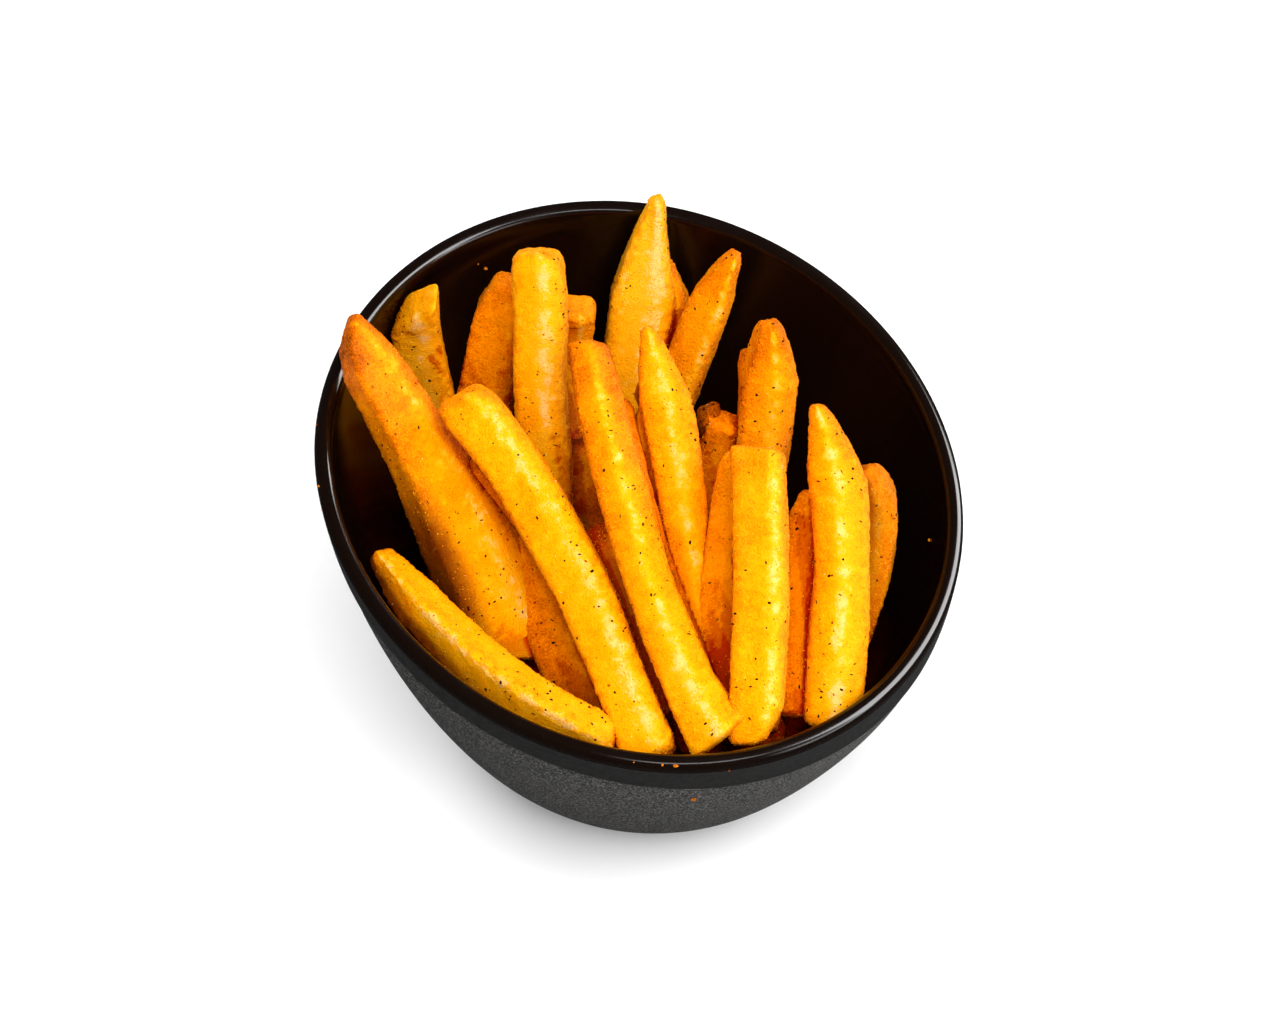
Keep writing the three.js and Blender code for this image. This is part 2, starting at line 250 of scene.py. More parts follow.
# The first of them are one mesh and the rest another.
FRIES_ON_LEFT = 11

# Each of these has a shorter fry close under and behind it, which props it up.
PROPPED_FRIES = [
    "left_slab", "long_crossing", "tall_blunt", "middle_front",
    "middle_behind", "right_round", "right_front", "far_right",
]
PROP_SHIFT = np.array([0.0, 6.4, -6.7])
PROP_START = 0.04
PROP_END = 0.86
PROP_BOW = 0.7
PROP_SIZE = 10
PROP_TAN = 1.2

# Hidden fries lie crosswise in layers: height, heading in degrees, reach and number. Each
# is a little out of line, by up to half of the amounts below.
BED_LAYERS = [(27, 70, 40, 6), (34, 95, 27, 4)]
BED_CENTRE = (-3, -5)
BED_SEED = 900
BED_SIZE = 10
BED_TAN = 1.3
BED_SHIFT = 3
BED_GAP = 3
BED_SHORTENING = 5
BED_TURN = 16
BED_LIFT = 3
BED_RISE = 4
BED_BOW = 2
BED_ROLL = 40
LEAST_REACH = 10

# Shelter: how many rays leave a point for the room above, the lowest's rise, how far off
# the surface they start and how far they look. Seasoning falls in drifts, from none to all
# between the openness and the upward slope below.
SHELTER_RAYS = 13
LOWEST_RISE = 0.12
GOLDEN_ANGLE = 2.39996
RAY_START = 0.4
RAY_REACH = 90
FACING_LEAST = 0.1
FEWEST_FACED = 4
DRIFT_SIZE = 9
DRIFT_SEED = 41
DRIFT_MEAN = 0.55
DRIFT_SWING = 0.9
DRIFT_MOST = 1.4
SEASONED_OPENNESS = (0.1, 0.4)
SEASONED_SLOPE = (-0.5, 0.3)

# Seasoning: grains on a square millimetre, smallest and largest grain, and seed.
SEASONING = {
    "pepper": (0.055, (0.3, 0.26, 0.14), (1.15, 0.8, 0.34), 3),
    "herb_slivers": (0.0028, (0.8, 0.2, 0.12), (1.6, 0.36, 0.2), 9),
    "spice": (0.034, (0.3, 0.25, 0.12), (0.9, 0.7, 0.26), 4),
    "salt": (0.008, (0.12, 0.12, 0.12), (0.3, 0.3, 0.3), 6),
}
CRUST_GRIT = (1.9, (0.2, 0.2, 0.16), (0.5, 0.42, 0.4), 5)
CHIP_REACH = (0.5, 0.42, 0.36)

# Lumps: how uneven a grain and a crumb are, and the sizes of their unevenness.
GRAIN_UNEVENNESS = 0.5
CRUMB_UNEVENNESS = 0.55
COARSE_LUMPS = 0.34
FINE_LUMPS = 0.15

# Crumbs on the bowl: bearing in degrees, height, whether inside, and size.
CRUMBS = [
    (-86.0, 54.9, False, 0.8), (-81.9, 38.6, False, 0.9), (-76.0, 50.5, False, 0.35),
    (-81.0, 39.6, False, 0.3), (122.6, 78.6, True, 0.6), (5.7, 48.7, True, 0.55),
    (-93.6, 56.4, False, 0.35), (-88.4, 55.4, False, 0.4), (-172.0, 80.0, False, 0.4),
    (-168.0, 77.8, False, 0.3), (176.0, 83.0, False, 0.35), (124.0, 80.4, True, 0.3),
]
CRUMB_LIFT = 0.2
CRUMB_SEED = 60
CRUMB_STRETCH = (0.7, 1.3)
LARGE_CRUMB = 0.7

# Studio, in metres and watts, with the camera's target in millimetres. Each light has its
# place, width, height and power, then whether reflections show it and whether it lights
# what is matte.
LIGHTS = {
    "main_softbox": ((0.16, -0.72, 0.84), 1.0, 0.8, 15.5, False, True),
    "right_softbox": ((0.74, -0.08, 0.76), 0.9, 0.4, 4, False, True),
    "top_softbox": ((0.0, -0.05, 1.15), 1.2, 1.0, 8.5, False, True),
    "back_softbox": ((-0.4, 0.85, 0.5), 0.8, 0.6, 8, False, True),
    "low_right_fill": ((0.9, -0.5, 0.12), 0.5, 0.3, 3, True, True),
    "side_panel": ((0.86, 0.1, 0.5), 1.0, 0.7, 38, True, False),
    "front_panel": ((0.5, -0.68, 0.78), 0.5, 0.14, 2.4, True, False),
}
LIGHT_TARGET = (0, 0, 0.06)
ROOM_LIGHT = 0.07
FLOOR_REACH = 3
CAMERA_ELEVATION = math.radians(46)
CAMERA_TARGET = (-2.82, -3.40, 66.22)
CAMERA_DISTANCE = 1.6
CAMERA_LENS = 225
CAMERA_SENSOR = 36
CAMERA_RANGE = (0.05, 20)

# Noise: the length of its table of random values, a power of two, and the primes that
# spread the cells over it.
NOISE_VALUES = 4096
NOISE_PRIMES = (73856093, 19349663, 83492791)
TINY = 1e-9


def noise(points, size, seed):
    """Smooth random values from -1 to 1 that change over about one size."""
    table = np.random.default_rng(seed).uniform(-1, 1, NOISE_VALUES)
    scaled = points / size
    cell = np.floor(scaled).astype(np.int64)
    part = scaled - cell
    part = part * part * (3 - 2 * part)
    total = np.zeros(len(points))
    for corner in np.ndindex(2, 2, 2):
        key = np.bitwise_xor.reduce((cell + corner) * NOISE_PRIMES, axis=1)
        share = np.where(corner, part, 1 - part).prod(axis=1)
        total += share * table[key & (NOISE_VALUES - 1)]
    return total


def unit(vectors):
    return vectors / np.maximum(np.linalg.norm(vectors, axis=-1, keepdims=True), TINY)


def smooth_step(value, start, end):
    share = np.clip((value - start) / (end - start), 0, 1)
    return share * share * (3 - 2 * share)


def bowed(start, control, end, share):
    """A point on the curve that leaves start towards control and comes from it to end."""
    return (1 - share) ** 2 * start + 2 * share * (1 - share) * control + share ** 2 * end


def add_marks(mesh, marks):
    for label, values in marks.items():
        layer = mesh.attributes.new(label, "FLOAT", "POINT")
        layer.data.foreach_set("value", np.asarray(values, np.float32))


def make_piece(name, points, faces, materials=(), marks=None, face_materials=None):
    """A smooth mesh object at the origin, from points in millimetres."""
    mesh = bpy.data.meshes.new(name)
    mesh.from_pydata((points * MM).tolist(), [], faces)
    add_marks(mesh, marks or {})
    for material in materials:
        mesh.materials.append(material)
    if face_materials is not None:
        mesh.polygons.foreach_set("material_index", np.asarray(face_materials, np.int32))
    mesh.shade_smooth()
    piece = bpy.data.objects.new(name, mesh)
    bpy.context.scene.collection.objects.link(piece)
    return piece


def ring_faces(rows, sides):
    """Faces of a closed tube of rings, whose poles are the points before and after them."""
    around = [(side, (side + 1) % sides) for side in range(sides)]
    last = 1 + rows * sides
    top = last - sides
    faces = [(0, 1 + b, 1 + a) for a, b in around]
    for low in range(1, top, sides):
        high = low + sides
        faces += [(low + a, low + b, high + b, high + a) for a, b in around]
    return faces + [(last, top + a, top + b) for a, b in around]


# ---------------------------------------------------------------- bowl


def outside_radius(height):
    share = np.clip(np.asarray(height, float) / BELLY_HEIGHT, 0, 1)
    flare = (1 - (1 - share) ** FLARE_RISE) ** (1 / FLARE_ROUND)
    tuck = TUCK_IN * np.maximum(np.asarray(height) - BELLY_HEIGHT, 0) ** 2
    return FOOT_RADIUS + (BELLY_RADIUS - FOOT_RADIUS) * flare - tuck


def rim_height(angle):
    height = np.full(np.shape(angle), float(RIM_HEIGHT))
    for _ in range(RIM_ROUNDS):
        height = RIM_HEIGHT + RIM_SLOPE * outside_radius(height) * np.cos(angle - HIGH_SIDE)
    return height


def fullness(angle, share):
    """How much fuller the outside is below the rim's low side. share is the height in
    parts of the rim's."""
    toward = np.maximum(np.cos(angle - FULL_SIDE), 0) ** 2
    return FULLNESS * toward * np.sin(math.pi * np.minimum(share, 1) ** FULLNESS_CURVE)


def inside_wall(height, thickness):
    """Radius and height of the inner wall's point opposite a height on the outside."""
    slope = (outside_radius(height + SLOPE_STEP) - outside_radius(height)) / SLOPE_STEP
    length = np.hypot(1, slope)
    return outside_radius(height) - thickness / length, height + thickness * slope / length


def inside_radius(height):
    """Radius of the inner wall at a height, by following the wall up."""
    radius, rise = inside_wall(FOLLOWED_HEIGHTS, WALL)
    return np.interp(height, rise, radius)


def bowl_rings():
    """Rings of the bowl from under the foot up the outside, over the lip and down to the
    floor, and the finish that starts at each."""
    angle = 2 * np.pi * np.arange(BOWL_SIDES) / BOWL_SIDES
    rim = rim_height(angle)
    lip_radius = WALL / 2
    lip_height = rim - lip_radius
    band_height = rim - BAND_DEPTH
    rings = []
    finishes = []

    def add(radius, height, finish):
        place = [radius * np.cos(angle), radius * np.sin(angle), height + 0 * angle]
        rings.append(np.stack(place, axis=1))
        finishes.append(finish)

    def add_outside(height, inset, finish):
        add(outside_radius(height) - inset + fullness(angle, height / lip_height), height, finish)

    for share in FOOT_SHARES:
        add(FOOT_RADIUS * share, 0, BODY_FINISH)
    for share in BODY_SHARES:
        add_outside(band_height * share, BAND_STEP, BODY_FINISH)
    for share in BAND_EDGE_SHARES:
        inset = BAND_STEP * (1 - math.sin(share * math.pi / 2))
        add_outside(band_height + BAND_EDGE * share, inset, BAND_FINISH)
    for share in BAND_SHARES:
        height = band_height + BAND_EDGE + (lip_height - band_height - BAND_EDGE) * share
        add_outside(height, 0, BAND_FINISH if share < SATIN_SHARE else GLAZE_FINISH)
    lip_centre = outside_radius(lip_height) - lip_radius
    for bend in math.pi * LIP_SHARES:
        radius = lip_centre + lip_radius * math.cos(bend)
        add(radius, lip_height + lip_radius * math.sin(bend), GLAZE_FINISH)
    for share in INSIDE_SHARES:
        add(*inside_wall(lip_height * share, WALL), GLAZE_FINISH)
    for share in FLOOR_SHARES:
        add((FOOT_RADIUS - WALL) * share, FLOOR, GLAZE_FINISH)
    return np.array(rings), finishes


def make_bowl(materials):
    rings, finishes = bowl_rings()
    points = np.concatenate([[[0, 0, 0]], rings.reshape(-1, 3), [[0, 0, FLOOR]]])
    faces = ring_faces(len(rings), BOWL_SIDES)
    face_finishes = np.repeat([BODY_FINISH, *finishes], BOWL_SIDES)
    return make_piece("bowl_glazed", points, faces, materials, face_materials=face_finishes)


# ---------------------------------------------------------------- fries


def fry_section(fry, count):
    """The rounded cross-section: places across and out in millimetres, the outward
    direction of each, and how close each is to a side edge and to the front crest."""
    crest, left_drop, right_drop = fry.get("ridge", PLAIN_RIDGE)
    wide = fry["width"] / 2
    deep = fry["depth"] / 2
    corners = np.array([
        (wide, -deep), (-wide, -deep), (-wide, deep * (1 - left_drop)),
        (crest * wide, deep), (wide, deep * (1 - right_drop))])
    line, weight = [], []
    for index, corner in enumerate(corners):
        reach = CORNER_ROUNDING[index] * min(wide, deep)
        rounding = []
        for neighbour in (corners[index - 1], corners[(index + 1) % len(corners)]):
            limit = CORNER_LIMIT * np.linalg.norm(neighbour - corner)
            rounding.append(corner + unit(neighbour - corner) * min(reach, limit))
        enter, leave = rounding
        for share in CORNER_SHARES:
            line.append(bowed(enter, corner, leave, share))
            weight.append(BACK_DETAIL if index < 2 else FRONT_DETAIL)
    line = np.array(line + line[:1])
    weight = np.array(weight + weight[:1])
    steps = np.linalg.norm(np.diff(line, axis=0), axis=1)
    rounded = steps < SHORT_STEP * min(wide, deep)
    walked = np.concatenate([[0], np.cumsum(steps * np.where(rounded, weight[:-1], 1))])
    at = np.linspace(0, walked[-1], count + 1)[:-1]
    even = np.stack([np.interp(at, walked, line[:, axis]) for axis in (0, 1)], axis=1)
    along = unit(np.roll(even, -1, axis=0) - np.roll(even, 1, axis=0))
    outward = np.stack([-along[:, 1], along[:, 0]], axis=1)
    outward *= np.sign((outward * even).sum(axis=1, keepdims=True))
    from_corner = np.linalg.norm(even[:, None] - corners[None], axis=2)
    edge = np.exp(-(from_corner[:, [0, 1, 2, 4]].min(axis=1) / (EDGE_REACH * wide)) ** 2)
    peak = np.exp(-(from_corner[:, 3] / (CREST_REACH * wide)) ** 2)
    return even, outward, edge, peak


def narrowing(distance, end):
    length, left, _ = end
    return left + (1 - left) * np.minimum(1, distance / length) ** NARROWING_CURVE


def axis_points(fry):
    return (np.array(fry[key], float) for key in ("foot", "middle", "tip"))


def fry_axis(fry, shares):
    """Points and directions along the fry's bowed axis, evenly by length, and its length."""
    foot, middle, tip = axis_points(fry)
    control = 2 * middle - (foot + tip) / 2
    line = bowed(foot, control, tip, AXIS_SHARES[:, None])
    walked = np.concatenate([[0], np.cumsum(np.linalg.norm(np.diff(line, axis=0), axis=1))])
    share = np.interp(shares * walked[-1], walked, AXIS_SHARES)[:, None]
    along = unit(2 * (1 - share) * (control - foot) + 2 * share * (tip - control))
    return bowed(foot, control, tip, share), along, walked[-1]


def ring_distances(length, spacing):
    """How far from the foot each ring of a fry lies."""
    body_rings = max(FEWEST_RINGS, round((length - 2 * CAP) / spacing))
    body = np.linspace(CAP, length - CAP, body_rings)[1:-1]
    return np.concatenate([CAP * CAP_SHARES, body, length - CAP * CAP_SHARES[::-1]])


def unevenness(points, seed, ends, edges):
    """How far lumps and crust push each point out."""
    total = 0
    for layer, (size, depth, at_ends, at_edges) in enumerate(UNEVENNESS):
        total += (depth + at_ends * ends + at_edges * edges) * noise(points, size, seed + layer)
    return total


def make_fry(fry, seed, count, spacing):
    """Points, faces and marks of one fry, with its poles first and last."""
    random = np.random.default_rng(seed)
    section, outward, edge, peak = fry_section(fry, count)
    length = fry_axis(fry, np.array([0.0, 1.0]))[2]
    distance = ring_distances(length, spacing)
    shares = distance / length
    centre, along, _ = fry_axis(fry, shares)

    # The section's sideways and outward directions, twisted along the fry.
    phase = random.uniform(0, 6)
    turn = math.radians(-fry.get("turn", 0)) + TWIST * np.sin(shares * TWIST_PACE + phase)
    face = unit(FACING - along * (along @ FACING)[:, None])
    side = np.cross(along, face)
    cosine, sine = np.cos(turn)[:, None], np.sin(turn)[:, None]
    side, face = side * cosine - face * sine, face * cosine + side * sine

    # The section's size and lean.
    foot_end = fry.get("foot_end", PLAIN_END)
    tip_end = fry.get("tip_end", PLAIN_END)
    foot_width = narrowing(distance, foot_end)
    tip_width = narrowing(length - distance, tip_end)
    from_end = np.minimum(distance, length - distance)
    closing = (1 - np.clip(1 - from_end / CAP, 0, 1) ** CAP_SQUARENESS) ** (1 / CAP_SQUARENESS)
    size = (1 + (fry.get("taper", 1) - 1) * shares) * closing
    still = np.zeros_like(distance)
    stray = [noise(np.stack([distance, still, still + STRAY_SPREAD * way], axis=1), STRAY_LENGTH, seed)
             for way in range(4)]
    narrowed = foot_width * tip_width
    shallow = np.maximum(narrowed, DEEPEST_NARROWING) ** DEPTH_NARROWING
    widen = narrowed * size * (1 + WIDTH_STRAY * stray[0])
    deepen = shallow * size * (1 + DEPTH_STRAY * stray[1])
    lean = ((1 - foot_width) * foot_end[2] + (1 - tip_width) * tip_end[2]) * fry["width"] / 2
    across = section[None, :, 0] * widen[:, None] + (lean + BEND * stray[2])[:, None]
    out = section[None, :, 1] * deepen[:, None] + BEND * stray[3][:, None]

    # The slanted cuts slide the ends along the fry.
    slant_across, slant_out = fry.get("cut", random.uniform(-UNCUT_SLANT, UNCUT_SLANT, 2))
    near_tip = smooth_step(distance, length - CUT_REACH, length)[:, None]
    near_foot = smooth_step(length - distance, length - CUT_REACH, length)[:, None]
    slide = (slant_across * across + slant_out * out) * (near_tip - CUT_AT_FOOT * near_foot)
    points = (centre[:, None] + side[:, None] * across[..., None] + face[:, None] * out[..., None]
              + along[:, None] * slide[..., None]).reshape(-1, 3)

    # Unevenness pushes each point out of the fry, and at the ends along it.
    sideways = side[:, None] * outward[None, :, :1] + face[:, None] * outward[None, :, 1:]
    share = (closing ** 2)[:, None, None]
    endways = along[:, None] * np.where(distance > length / 2, 1, -1)[:, None, None]
    push = unit(sideways * share + endways * (1 - share)).reshape(-1, 3)
    ends = np.repeat(smooth_step(from_end, END_REACH, 0), count)
    edges = np.repeat(smooth_step(from_end, END_EDGE_REACH, 0), count)
    edges = np.maximum(np.tile(edge, len(distance)), edges)
    hollow = HOLLOW * (1 - edges) * np.repeat(smooth_step(from_end, *HOLLOW_REACH), count)
    points = points + push * (unevenness(points, seed, ends, edges) - hollow)[:, None]
    first = points[:count].mean(axis=0) - along[0] * POLE_OUT
    last = points[-count:].mean(axis=0) + along[-1] * POLE_OUT

    # Each mark has its value at the first pole, on the rings and at the last pole.
    # Painted shade on a shaded side, across the section and fading along the fry.
    shade_start, shade_end, shade_full, shade_none = fry.get("soak", UNSHADED_SIDE)
    shaded = smooth_step(section[:, 0] / (fry["width"] / 2), shade_start, shade_end)
    shaded = (smooth_step(shares, shade_none, shade_full)[:, None] * shaded).ravel()
    foot_tan, tip_tan = fry["tan"]
    tanned = np.repeat(foot_tan + (tip_tan - foot_tan) * shares, count)
    gritty = edges * smooth_step(tanned, CLEAN_TAN, GRITTY_TAN) * (1 - shaded)
    marks = {
        "edge": (0.5, edges, 0.5),
        "end": (1, ends, 1),
        "crest": (0, np.tile(peak, len(distance)), 0),
        "tan": (foot_tan, tanned, tip_tan),
        "soak": (0, shaded, 0),
        "grit": (0, gritty, 0),
    }
    marks = {label: np.hstack(values) for label, values in marks.items()}
    return np.vstack([first, points, last]), ring_faces(len(distance), count), marks


def prop_of(fry):
    """The shorter fry that props a fry up."""
    foot, middle, tip = axis_points(fry)
    low = foot + (tip - foot) * PROP_START + PROP_SHIFT
    high = foot + (tip - foot) * PROP_END + PROP_SHIFT
    bow = PROP_BOW * (middle - (foot + tip) / 2)
    return dict(foot=low, middle=(low + high) / 2 + bow, tip=high, width=PROP_SIZE, depth=PROP_SIZE,
                tan=(PROP_TAN, PROP_TAN))


def bed_fries():
    """Hidden fries in crosswise layers."""
    fries = []
    for height, heading, reach, number in BED_LAYERS:
        for row in range(number):
            stray = np.random.default_rng(BED_SEED + len(fries)).uniform(-0.5, 0.5, 8)
            offset = (row - (number - 1) / 2) * 2 * reach / number + BED_SHIFT * stray[1]
            half = math.sqrt(max(reach ** 2 - offset ** 2, LEAST_REACH ** 2))
            half -= BED_GAP + BED_SHORTENING * abs(stray[2])
            turn = math.radians(heading + BED_TURN * stray[3])
            along = np.array([math.cos(turn), math.sin(turn), 0])
            beside = np.array([-math.sin(turn), math.cos(turn), 0])
            centre = np.array([*BED_CENTRE, height + BED_LIFT * stray[4]]) + offset * beside
            rise = np.array([0, 0, BED_RISE * stray[5]])
            bow = np.array([0, 0, BED_BOW * stray[6]])
            fries.append(dict(
                foot=centre - half * along - rise, middle=centre + bow, tip=centre + half * along + rise,
                width=BED_SIZE, depth=BED_SIZE, turn=BED_ROLL * stray[7], tan=(BED_TAN, BED_TAN)))
    return fries


def settle(points):
    """Presses what would pass through the bowl's wall back inside it."""
    angle = np.arctan2(points[:, 1], points[:, 0])
    radius = np.hypot(points[:, 0], points[:, 1])
    over = points[:, 2] - rim_height(angle) + WALL / 2
    limit = inside_radius(points[:, 2]) - SETTLED_GAP + np.maximum(over, 0) * LEAN_OUT
    shrink = np.where(radius > limit, limit / np.maximum(radius, TINY), 1)
    return points * np.stack([shrink, shrink, np.ones_like(shrink)], axis=1)


def join_meshes(parts):
    """Points and faces of several meshes as one mesh's."""
    faces = []
    start = 0
    for points, some_faces in parts:
        faces += [[corner + start for corner in face] for face in some_faces]
        start += len(points)
    return np.vstack([points for points, _ in parts]), faces


def join_fries(name, fries, first_seed, fineness, material):
    made = [make_fry(fry, first_seed + SEED_STEP * index, *fineness) for index, fry in enumerate(fries)]
    points, faces = join_meshes([(points, faces) for points, faces, _ in made])
    marks = {label: np.concatenate([some[label] for *_, some in made]) for label in made[0][2]}
    return make_piece(name, settle(points), faces, [material], marks)


def make_mound(material):
    """What fills the bowl under the fries: their packed lower ends."""
    angle = 2 * np.pi * np.arange(MOUND_SIDES) / MOUND_SIDES
    circle = np.stack([np.cos(angle), np.sin(angle), 0 * angle], axis=1)
    rings = []
    for height in MOUND_WALL_ROWS:
        radius, rise = inside_wall(height, WALL + SETTLED_GAP)
        rings.append(radius * circle + [0, 0, rise])
    for reach, height in MOUND:
        rings.append(reach * circle + [*MOUND_TOP[:2], height])
    points = np.vstack([[0, 0, FLOOR + MOUND_LIFT], *rings, MOUND_TOP])
    marks = {label: np.zeros(len(points)) for label in ("edge", "end", "crest", "soak", "grit")}
    marks["tan"] = np.full(len(points), MOUND_TAN)
    return make_piece("fries_mound", settle(points), ring_faces(len(rings), MOUND_SIDES), [material], marks)


def points_of(piece):
    """A piece's points, in metres."""
    return np.array([vertex.co for vertex in piece.data.vertices])


def mesh_of(piece):
    return points_of(piece), [list(polygon.vertices) for polygon in piece.data.polygons]


def mark_shelter(pieces, blockers):
    """Marks how open each point is to the room above, 1 open and 0 shut in, and how much
    seasoning falls there."""
    tree = BVHTree.FromPolygons(*join_meshes([mesh_of(piece) for piece in blockers]))
    rays = []
    for index in range(SHELTER_RAYS):
        rise = LOWEST_RISE + (1 - LOWEST_RISE) * (index + 0.5) / SHELTER_RAYS
        turn = index * GOLDEN_ANGLE
        level = math.sqrt(1 - rise * rise)
        rays.append(Vector((level * math.cos(turn), level * math.sin(turn), rise)))
    for piece in pieces:
        openness = []
        for vertex in piece.data.vertices:
            faced = [ray for ray in rays if ray.dot(vertex.normal) > FACING_LEAST]
            start = vertex.co + vertex.normal * RAY_START * MM
            clear = sum(tree.ray_cast(start, ray, RAY_REACH * MM)[0] is None for ray in faced)
            openness.append(clear / max(len(faced), FEWEST_FACED))
        openness = np.array(openness)
        up = np.array([vertex.normal.z for vertex in piece.data.vertices])
        drift = DRIFT_SWING * noise(points_of(piece) / MM, DRIFT_SIZE, DRIFT_SEED)
        season = np.clip(DRIFT_MEAN + drift, 0, DRIFT_MOST)
        season *= smooth_step(openness, *SEASONED_OPENNESS) * smooth_step(up, *SEASONED_SLOPE)
        add_marks(piece.data, {"open": openness, "season": season})


# ---------------------------------------------------------------- seasoning and crumbs


def make_lump(seed, detail, rough):
    """Points and faces of an uneven ball about one millimetre across."""
    shape = bmesh.new()
    bmesh.ops.create_icosphere(shape, subdivisions=detail, radius=0.5)
    points = np.array([vertex.co for vertex in shape.verts])
    faces = [[vertex.index for vertex in face.verts] for face in shape.faces]
    shape.free()
    swell = 1 + rough * noise(points, COARSE_LUMPS, seed) + rough / 2 * noise(points, FINE_LUMPS, seed + 1)
    return points * swell[:, None], faces


def make_chip():
    """A sharp eight-sided chip of crust, one millimetre long."""
    corners = np.concatenate([np.eye(3), -np.eye(3)]) * CHIP_REACH
    faces = [(0, 1, 2), (1, 3, 2), (3, 4, 2), (4, 0, 2), (1, 0, 5), (3, 1, 5), (4, 3, 5), (0, 4, 5)]
    return make_piece("chip", corners, faces)


def scatter_tree():
    """Strews a grain over the hosts' faces, as densely as the mark named in Where says."""
    tree = bpy.data.node_groups.new("strewn_grains", "GeometryNodeTree")
    sockets = {}
    for label, kind in (
            ("Left Host", "NodeSocketObject"), ("Right Host", "NodeSocketObject"),
            ("Grain", "NodeSocketObject"), ("Where", "NodeSocketString"),
            ("Per Square Metre", "NodeSocketFloat"), ("Smallest", "NodeSocketVector"),
            ("Largest", "NodeSocketVector"), ("Seed", "NodeSocketInt"), ("Finish", "NodeSocketMaterial")):
        sockets[label] = tree.interface.new_socket(name=label, in_out="INPUT", socket_type=kind).identifier
    tree.interface.new_socket(name="Geometry", in_out="OUTPUT", socket_type="NodeSocketGeometry")
    given = tree.nodes.new("NodeGroupInput").outputs

    def node(kind, links, **settings):
        made = tree.nodes.new(kind)
        for label, value in settings.items():
            setattr(made, label, value)
        for socket, value in links.items():
            if isinstance(value, bpy.types.NodeSocket):
                tree.links.new(value, made.inputs[socket])
            else:
                made.inputs[socket].default_value = value
        return made.outputs

    left = node("GeometryNodeObjectInfo", {"Object": given["Left Host"]})
    right = node("GeometryNodeObjectInfo", {"Object": given["Right Host"]})
    host = node("GeometryNodeJoinGeometry", {"Geometry": left["Geometry"]})
    tree.links.new(right["Geometry"], host["Geometry"].node.inputs["Geometry"])
    grain = node("GeometryNodeObjectInfo", {"Object": given["Grain"]})
    mark = node("GeometryNodeInputNamedAttribute", {"Name": given["Where"]}, data_type="FLOAT")
    density = node("ShaderNodeMath", {0: mark[0], 1: given["Per Square Metre"]}, operation="MULTIPLY")
    strewn = node("GeometryNodeDistributePointsOnFaces", {
        "Mesh": host["Geometry"], "Density": density[0], "Seed": given["Seed"]})
    angle = node("FunctionNodeRandomValue", {2: 0.0, 3: 2 * math.pi, 8: given["Seed"]}, data_type="FLOAT")
    spin = node("FunctionNodeAxisAngleToRotation", {"Axis": (0, 0, 1), "Angle": angle[1]})
    laid = node("FunctionNodeRotateRotation", {0: strewn["Rotation"], 1: spin[0]}, rotation_space="LOCAL")
    size = node("FunctionNodeRandomValue", {0: given["Smallest"], 1: given["Largest"], 8: given["Seed"]},
                data_type="FLOAT_VECTOR")
    placed = node("GeometryNodeInstanceOnPoints", {
        "Points": strewn["Points"], "Instance": grain["Geometry"], "Rotation": laid[0], "Scale": size[0]})
    solid = node("GeometryNodeRealizeInstances", {"Geometry": placed[0]})
    finished = node("GeometryNodeSetMaterial", {"Geometry": solid[0], "Material": given["Finish"]})
    result = tree.nodes.new("NodeGroupOutput")
    tree.links.new(finished[0], result.inputs[0])
    return tree, sockets


def strew(name, kit, hosts, grain, where, amounts, finish):
    """A piece of grains strewn on its hosts, baked."""
    tree, sockets = kit
    per_square_mm, smallest, largest, seed = amounts
    holder = bpy.data.objects.new(name + "_tree", bpy.data.meshes.new(name + "_tree"))
    bpy.context.scene.collection.objects.link(holder)
    strewing = holder.modifiers.new("strew", "NODES")
    strewing.node_group = tree
    for label, host in zip(("Left Host", "Right Host"), hosts):
        strewing[sockets[label]] = host
    for label, value in (
            ("Grain", grain), ("Where", where), ("Per Square Metre", per_square_mm / MM ** 2),
            ("Smallest", smallest), ("Largest", largest), ("Seed", seed), ("Finish", finish)):
        strewing[sockets[label]] = value
    evaluated = holder.evaluated_get(bpy.context.evaluated_depsgraph_get())
    mesh = bpy.data.meshes.new_from_object(evaluated)
    mesh.name = name
    piece = bpy.data.objects.new(name, mesh)
    bpy.context.scene.collection.objects.link(piece)
    bpy.data.objects.remove(holder)
    return piece


def make_seasoning(hosts):
    """Pepper, herb slivers, spice, salt and loose crust on the fries."""
    kit = scatter_tree()
    grain = make_piece("grain", *make_lump(seed=5, detail=1, rough=GRAIN_UNEVENNESS))
    chip = make_chip()
    pepper = plain_grain("ground_pepper", CHAR, (0.004, 0.003, 0.002, 1), 0.6)
    spice = plain_grain("ground_spice", RUST, colour(176, 62, 6), 0.6)
    crust = plain_grain("crust_grit", AMBER, CREAM, 0.5)
    salt = plain_grain("salt", colour(255, 236, 190), colour(255, 246, 220), 0.2)
    finishes = {"pepper": pepper, "herb_slivers": pepper, "spice": spice, "salt": salt}
    strewn = [strew(name, kit, hosts, grain, "season", amounts, finishes[name])
              for name, amounts in SEASONING.items()]
    strewn += [strew(name, kit, [host], chip, "grit", CRUST_GRIT, crust)
               for name, host in zip(("crust_grit_left", "crust_grit_right"), hosts)]
    bpy.data.objects.remove(grain)
    bpy.data.objects.remove(chip)
    return strewn


